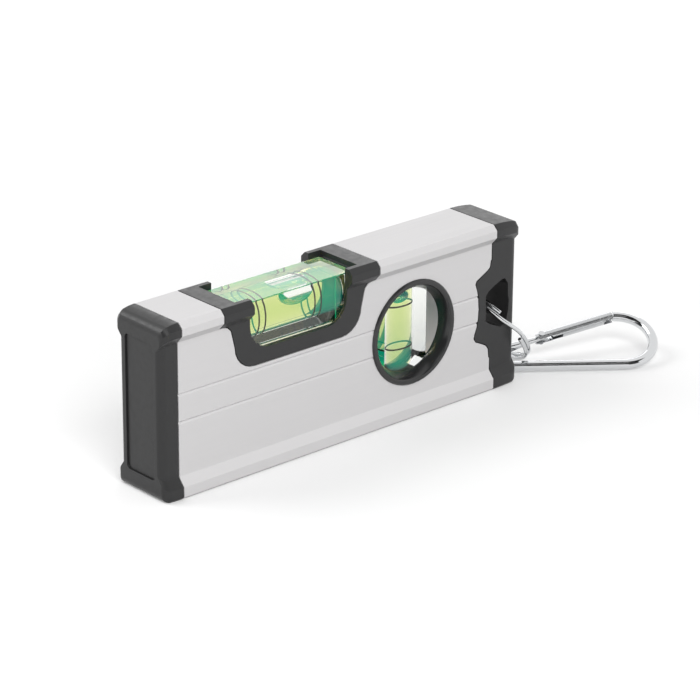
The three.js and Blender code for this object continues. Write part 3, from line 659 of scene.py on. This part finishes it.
# %% [markdown]
# The split ring, the carabiner and its pins are steel wire with a bright plating. A mirror would be
# too clean, so the gloss wanders a little. A wire could be a curve with a round bevel, but these
# wires step aside and narrow, so a small circle is spun and moved along their path instead.

# %% Plated wire
plated = finish("plated_steel", (0.68, 0.69, 0.7), Metallic=1.0, Roughness=0.09)
wander(plated, scale=900, low=0.07, high=0.11)


def wire_profile(radius, place, turn, vertices=20):
    """A circle that is open for editing, to be spun and moved along a wire's path."""
    let_go()
    bpy.ops.mesh.primitive_circle_add(
        vertices=vertices, radius=radius * MM, location=Vector(place) * MM, rotation=turn,
    )
    profile = settle(bpy.context.object, "wire")
    open_whole(profile)
    return profile


def spin(degrees, centre=(0, 0), steps=24):
    """Carries the selected profile round a centre in the XY plane."""
    bpy.ops.mesh.spin(
        steps=steps, angle=math.radians(degrees), center=(centre[0] * MM, centre[1] * MM, 0),
        axis=(0, 0, 1),
    )


def close_ends(thing):
    """Closes a wire's two ends and turns its faces outwards."""
    bpy.ops.mesh.select_all(action="SELECT")
    bpy.ops.mesh.fill_holes(sides=64)
    bpy.ops.mesh.normals_make_consistent(inside=False)
    done()
    print("the wire measures", [round(side / MM, 2) for side in thing.dimensions])


# %% [markdown]
# The split ring is spring wire wound almost twice. The circle is spun round the ring's centre for
# the first turn, stepped down to the second layer over a short arc, and spun on.
# The model is made flat at the origin and then leant into its place.

# %% Split ring
RING_RADIUS, RING_WIRE, LAYER = 12.5, 0.5, 1.06
FIRST_TIP, SECOND_TIP = -127.5, -90.0
STEP_ARC, STEPS_DOWN = SECOND_TIP - FIRST_TIP, 10
ring_place = (
    Matrix.Translation(Vector((52.05, 3.6, 11.2)) * MM)
    @ Matrix.Rotation(math.radians(51.7), 4, "Y")
    @ Matrix.Rotation(math.radians(FIRST_TIP), 4, "Z")
)

ring = wire_profile(RING_WIRE, (RING_RADIUS, 0, LAYER / 2), (math.pi / 2, 0, 0))
spin(360 - STEP_ARC, steps=80)
for step in range(STEPS_DOWN):
    before, after = (0.5 - 0.5 * math.cos(math.pi * (step + k) / STEPS_DOWN) for k in (0, 1))
    spin(STEP_ARC / STEPS_DOWN, steps=1)
    bpy.ops.transform.translate(value=(0, 0, -LAYER * MM * (after - before)))
spin(360 - STEP_ARC, steps=80)
close_ends(ring)
soften(ring, 0.1, 60)
ring.matrix_world = ring_place
settle(ring, "key_ring")
smooth(ring, 50)
dress(ring, plated, "chrome", "ring", "split_ring")

# %% [markdown]
# The carabiner is one piece of thicker wire, in a plane of its own. U runs along it from the hinge's
# end, and the gate's line leans a little, because one arc is wider than the other.
# It is modelled flat, and one matrix then puts the hook, the gate and their pins in their place.

# %% The carabiner's plane
WIDE, NARROW, SPAN = 7.9, 3.1, 26.3
LEAN = math.asin((WIDE - NARROW) / SPAN)
PIN_U, GATE_START, GATE_END, LATCH_U = 8.5, 7.05, 26.85, 25.8
hook_place = (
    Matrix.Translation(Vector((56.55, -1.9, 2.9)) * MM)
    @ Matrix.Rotation(math.radians(-26.6), 4, "Z")
    @ Matrix.Rotation(math.radians(-3.1), 4, "Y")
    @ Matrix.Rotation(math.radians(21.5), 4, "X")
)


def by_gate(u, aside=0.0):
    """A place along the gate's line, in the carabiner's own plane."""
    line = NARROW / math.cos(LEAN) + u * math.tan(LEAN)
    return Vector((u - math.sin(LEAN) * aside, line + math.cos(LEAN) * aside, 0))


print("the gate's line leans by", round(math.degrees(LEAN), 2), "degrees")

# %% [markdown]
# The hook's path has two arcs and two straight legs. A circle is spun round each arc, and its last
# ring is then moved to the end of the leg that follows, because the wire between two rings is straight
# by itself. The ring at the hinge's end is squeezed flat, so the short leg narrows evenly towards it.
# The real leg stays round up to the hinge. This model doesn't show that: it lacks the rings between.

# %% Carabiner hook
HOOK_WIRE = 1.2
NOSE_DEGREES, NOSE_RISE = 82.0, 0.4
HINGE_LEG, HINGE_TIP = 6.7, 2.75


def carry(vector):
    """Moves the selected ring straight on, without a new one."""
    bpy.ops.transform.translate(value=Vector(vector) * MM)


nose_turn = math.radians(NOSE_DEGREES)
nose = Vector((SPAN + WIDE * math.cos(nose_turn), NOSE_RISE + WIDE * math.sin(nose_turn), 0))
hook = wire_profile(HOOK_WIRE, nose, (math.pi / 2, 0, nose_turn))
spin(NOSE_DEGREES, (SPAN, NOSE_RISE), 20)
carry((0, -NOSE_RISE, 0))
lean_degrees = math.degrees(LEAN)
spin(90 + lean_degrees, (SPAN, 0))
away = Vector((-math.sin(LEAN), -math.cos(LEAN), 0))
carry(away * NARROW - (Vector((SPAN, 0, 0)) + away * WIDE))
spin(180 - 2 * lean_degrees)
leg_start = Vector((-math.sin(LEAN) * NARROW, math.cos(LEAN) * NARROW, 0))
along = by_gate(1) - by_gate(0)
along.normalize()
carry(by_gate(HINGE_LEG) + along * HINGE_TIP - leg_start)
bpy.ops.transform.resize(value=(1, 0.48, 0.3375))
close_ends(hook)

# %% [markdown]
# The nose is pressed flat under the gate's end. Its end face is chosen and extruded twice: over a
# short length on which it goes flat, and then straight on.
# A block cuts the notch in which the gate's latch pin rests.

# %% Nose of the hook
PRESS_LENGTH, NOSE_FLAT, NOTCH_HALF = 0.35, 2.25, 0.6


def push(vector):
    """Extrudes the selected face straight on."""
    bpy.ops.mesh.extrude_region_move(TRANSFORM_OT_translate={"value": Vector(vector) * MM})


def gate_block(from_u, to_u, from_aside, to_aside, thickness):
    """A box that lies along the gate's line, to cut with."""
    middle = (by_gate(from_u, from_aside) + by_gate(to_u, to_aside)) / 2
    size = ((to_u - from_u) / math.cos(LEAN), to_aside - from_aside, thickness)
    let_go()
    bpy.ops.mesh.primitive_cube_add(
        size=1, location=middle * MM, rotation=(0, 0, LEAN), scale=Vector(size) * MM,
    )
    return settle(bpy.context.object, "cutter")


choose(hook, "FACE", lambda face: (face.center / MM - nose).length < 0.1)
push(-along * PRESS_LENGTH)
bpy.ops.transform.resize(value=(1, 0.75, 0.375))
push(-along * NOSE_FLAT)
done()
cut(hook, gate_block(LATCH_U - NOTCH_HALF, LATCH_U + NOTCH_HALF, -3, 0.5, 2))
hook.matrix_world = hook_place
settle(hook, "hook")
smooth(hook, 40)
dress(hook, plated, "chrome", "carabiner", "carabiner_hook")

# %% [markdown]
# The gate is a drawn tube, duller than the plated wire, and forked at both ends to straddle the
# flattened wire. It starts as a rod. Blocks cut the two forks and the spring's slot, and a block with
# a round hollow leaves the lugs round the pin. The latch pin is joined to it at the free end.

# %% Gate with its forks
GATE_RADIUS, LUG_RADIUS, FORK_GAP, FREE_FORK = 1.3, 1.45, 1.5, 2.4
SLOT_START, SLOT_END, SLOT_WIDTH = 10.2, 13.6, 0.85
drawn = finish("drawn_steel_tube", (0.57, 0.58, 0.59), Metallic=1.0, Roughness=0.24)
wander(drawn, scale=1200, low=0.2, high=0.28)
tube_start, tube_end = by_gate(GATE_START), by_gate(GATE_END)
let_go()
bpy.ops.mesh.primitive_cylinder_add(
    vertices=48, radius=GATE_RADIUS * MM, depth=(tube_end - tube_start).length * MM,
    location=(tube_start + tube_end) / 2 * MM, rotation=(0, math.pi / 2, LEAN),
)
gate = settle(bpy.context.object, "gate")
corner = gate_block(GATE_START - 2, PIN_U, -3, 3, 4)
pin_spot = by_gate(PIN_U)[:2]
cut(corner, rod(LUG_RADIUS, -3, 3, "Z", pin_spot, 48))
cut(gate, corner)
cut(gate, gate_block(GATE_START - 2, GATE_START + 4, -3, 3, FORK_GAP))
cut(gate, gate_block(GATE_END - FREE_FORK, GATE_END + 2, -3, 3, FORK_GAP))
cut(gate, gate_block(SLOT_START, SLOT_END, -3, 0.3, SLOT_WIDTH))
soften(gate, 0.12, 45)
cut(gate, rod(0.35, -1.1, 1.1, "Z", by_gate(LATCH_U)[:2], 24), "UNION")
gate.matrix_world = hook_place
settle(gate, "gate")
smooth(gate, 40)
dress(gate, drawn, "chrome", "gate", "carabiner_gate")

# %% [markdown]
# The hinge pin is a rivet: a thin rod to which a flat head with a soft edge is joined on each side.

# %% Hinge pin
PIN_RADIUS, PIN_REACH = 0.4, 1.4
HEAD_RADIUS, HEAD_BASE, HEAD_TOP = 0.75, 1.38, 1.56
pin = rod(PIN_RADIUS, -PIN_REACH, PIN_REACH, "Z", pin_spot, 32)
for side in (-1, 1):
    head = rod(HEAD_RADIUS, side * HEAD_BASE, side * HEAD_TOP, "Z", pin_spot, 32)
    soften(head, 0.08, 45)
    cut(pin, head, "UNION")
pin.matrix_world = hook_place
settle(pin, "hinge_pin")
smooth(pin, 40)
dress(pin, plated, "chrome", "carabiner", "gate_pin")

# %% [markdown]
# A thin spring keeps the gate shut. On the real carabiner it is a wire, bowed between the hook and the
# gate's slot. This piece is unfinished: it is only the wire's far end, a flat disc in the slot.
# The whole wire would be the same circle, extruded from spot to spot along the bow in vertex mode,
# because in face mode a circle without a face is only moved.

# %% Gate spring, its far end only
SPRING_WIRE, SPRING_SPOT, SPRING_TURN = 0.225, (13.0, -0.3), -50
turn = (0, math.pi / 2, math.radians(SPRING_TURN))
spring = wire_profile(SPRING_WIRE, by_gate(*SPRING_SPOT), turn, 12)
close_ends(spring)
spring.matrix_world = hook_place
settle(spring, "gate_wire_spring")
smooth(spring, 50)
dress(spring, plated, "chrome", "gate", "gate_spring")

# %% [markdown]
# A studio's white should be seen and not light the level. So the floor and the sky are brighter only
# for rays that show a picture: the camera's, a mirror's, and those that pass clear plastic.
# One socket tells them apart, for the floor's material and for the sky.

# %% Rays that show a picture


def picture_rays(tree):
    """A socket that is 1 for every ray that shows what it meets."""
    path = tree.nodes.new("ShaderNodeLightPath")
    shown = path.outputs["Is Camera Ray"]
    for kind in ("Is Glossy Ray", "Is Transmission Ray"):
        either = tree.nodes.new("ShaderNodeMath")
        either.operation = "MAXIMUM"
        tree.links.new(shown, either.inputs[0])
        tree.links.new(path.outputs[kind], either.inputs[1])
        shown = either.outputs[0]
    return shown


# %% [markdown]
# The floor is a plain pale plane. Its own colour takes the shadows, and a little glow, stronger
# further away, lifts it to the white of a studio sweep. Rays that show no picture meet a greyer
# floor without the glow, so less light comes back from below.

# %% Floor
FLOOR_SIZE, BELOW = 6, 0.03 * MM
GLOW = {"From Min": 0.12, "From Max": 0.5, "To Min": 0.15, "To Max": 0.65}
let_go()
bpy.ops.mesh.primitive_plane_add(size=FLOOR_SIZE, location=(0, 0, -BELOW))
floor = settle(bpy.context.object, "floor")
paper = finish("white_paper", (0.76, 0.76, 0.76), Roughness=0.9)
nodes, links = paper.node_tree.nodes, paper.node_tree.links
place = nodes.new("ShaderNodeTexCoord")
distance = nodes.new("ShaderNodeVectorMath")
distance.operation = "LENGTH"
whiter = nodes.new("ShaderNodeMapRange")
for socket, value in GLOW.items():
    whiter.inputs[socket].default_value = value
glow = nodes.new("ShaderNodeEmission")
bright = nodes.new("ShaderNodeAddShader")
dim = nodes.new("ShaderNodeBsdfDiffuse")
dim.inputs["Color"].default_value = (0.5, 0.5, 0.5, 1)
pick = nodes.new("ShaderNodeMixShader")
links.new(place.outputs["Object"], distance.inputs[0])
links.new(distance.outputs["Value"], whiter.inputs["Value"])
links.new(whiter.outputs["Result"], glow.inputs["Strength"])
links.new(nodes["Principled BSDF"].outputs[0], bright.inputs[0])
links.new(glow.outputs[0], bright.inputs[1])
links.new(picture_rays(paper.node_tree), pick.inputs["Fac"])
links.new(dim.outputs[0], pick.inputs[1])
links.new(bright.outputs[0], pick.inputs[2])
links.new(pick.outputs[0], nodes["Material Output"].inputs["Surface"])
floor.data.materials.append(paper)
print("the floor glows with", GLOW["To Min"], "near the level and", GLOW["To Max"], "far away")

# %% [markdown]
# Large soft lamps give even light with weak shadows: two before the level, one low and one high, and
# two behind it, which lift its top faces. The low one behind would show through the vial as a white
# bar, so it is hidden from rays that pass clear plastic. The front one is hidden from mirrors.

# %% Lamps


def lamp(name, place, target, size, power):
    """A rectangular lamp that is turned towards a target."""
    light = bpy.data.lights.new(name, "AREA")
    light.shape = "RECTANGLE"
    light.size, light.size_y = size
    light.energy = power
    thing = bpy.data.objects.new(name, light)
    bpy.context.scene.collection.objects.link(thing)
    thing.location = place
    thing.rotation_euler = (Vector(target) - Vector(place)).to_track_quat("-Z", "Y").to_euler()
    print(name, "gives", power, "W")
    return thing


low_lamp = lamp("lamp_low_behind", (0.62, 0.55, 0.4), (0.03, 0, 0.03), (0.5, 0.3), power=0.65)
low_lamp.visible_transmission = False
lamp("lamp_behind", (-0.45, 0.5, 0.65), (0, 0, 0), (0.5, 0.5), power=3.5)
front_lamp = lamp("lamp_front", (-0.35, -0.95, 0.4), (0, 0, 0.02), (0.9, 0.4), power=4.6)
front_lamp.visible_glossy = False
lamp("lamp_high", (-0.35, -0.7, 0.8), (0, 0, 0.02), (0.6, 0.4), power=5.5)

# %% [markdown]
# The sky is white where it is seen, and weaker as a light. Colours are shown as they are written.

# %% Sky
SKY_LIGHT = 0.5
world = bpy.data.worlds.new("studio")
bpy.context.scene.world = world
world.use_nodes = True
tree = world.node_tree
light_sky = tree.nodes["Background"]
light_sky.inputs["Color"].default_value = (1, 1, 1, 1)
light_sky.inputs["Strength"].default_value = SKY_LIGHT
white_sky = tree.nodes.new("ShaderNodeBackground")
white_sky.inputs["Color"].default_value = (1, 1, 1, 1)
pick = tree.nodes.new("ShaderNodeMixShader")
tree.links.new(picture_rays(tree), pick.inputs["Fac"])
tree.links.new(light_sky.outputs[0], pick.inputs[1])
tree.links.new(white_sky.outputs[0], pick.inputs[2])
tree.links.new(pick.outputs[0], tree.nodes["World Output"].inputs["Surface"])
bpy.context.scene.view_settings.view_transform = "Standard"
print("the sky lights the level with a strength of", SKY_LIGHT)

# %% [markdown]
# Bright metal and clear plastic show what is round them, and in a white room they would nearly vanish.
# So dark cards stand round the level. One over the camera, one in front and one at the back right
# give the wire its dark lines. One behind shows at the bottom of the level vial, and it is wide, so
# that its ends don't show there. The cards are hidden from the camera, and they cast no shadow and
# take no light from the level.

# %% Dark cards
TO_CAMERA = Vector((-0.665, -0.747, 0.0))
TO_FRONT = Vector((0.0, -1.0, 0.0))
TO_BACK_RIGHT = Vector((0.407, 0.914, 0.0))


def card(name, towards, bottom, top, width, shade):
    """A card whose bottom and top are each given by a distance in one direction and a height."""
    low, high = towards * bottom[0], towards * top[0]
    low.z, high.z = bottom[1], top[1]
    across = Vector((-towards.y, towards.x, 0))
    rise = high - low
    facing = Matrix((across, rise.normalized(), across.cross(rise).normalized())).transposed()
    let_go()
    bpy.ops.mesh.primitive_plane_add(size=1, location=(low + high) / 2, rotation=facing.to_euler())
    thing = bpy.context.object
    thing.scale = (width, rise.length, 1)
    settle(thing, name)
    thing.data.materials.append(finish(name + "_felt", (shade, shade, shade), Roughness=1.0))
    thing.visible_camera = thing.visible_diffuse = thing.visible_shadow = False
    print(name, "is", round(rise.length, 2), "m high")
    return thing


card("card_over_camera", TO_CAMERA, bottom=(1.2, 0.3), top=(0.16, 0.92), width=1.8, shade=0.015)
card("card_in_front", TO_FRONT, bottom=(0.9, 0.05), top=(0.9, 0.5), width=0.45, shade=0.03)
card("card_back_right", TO_BACK_RIGHT, bottom=(0.9, 0.05), top=(0.9, 0.26), width=0.26, shade=0.03)
behind = card("card_behind", TO_CAMERA, bottom=(-0.95, 0.18), top=(-0.94, 0.6), width=2.0, shade=0.05)
behind.visible_glossy = False

# %% [markdown]
# The camera stands to the front left and above, far away with a long lens, as for a product picture.

# %% Camera
camera = bpy.data.cameras.new("camera")
camera.lens = 165.27
camera.sensor_width = 36
camera.clip_start, camera.clip_end = 0.05, 20
viewer = bpy.data.objects.new("camera", camera)
bpy.context.scene.collection.objects.link(viewer)
viewer.location = (-0.43447, -0.49067, 0.28644)
viewer.rotation_euler = [math.radians(angle) for angle in (67.80809, -0.42751, -41.82628)]
bpy.context.scene.camera = viewer
print("the camera stands", round(viewer.location.length, 3), "m from the level's base")
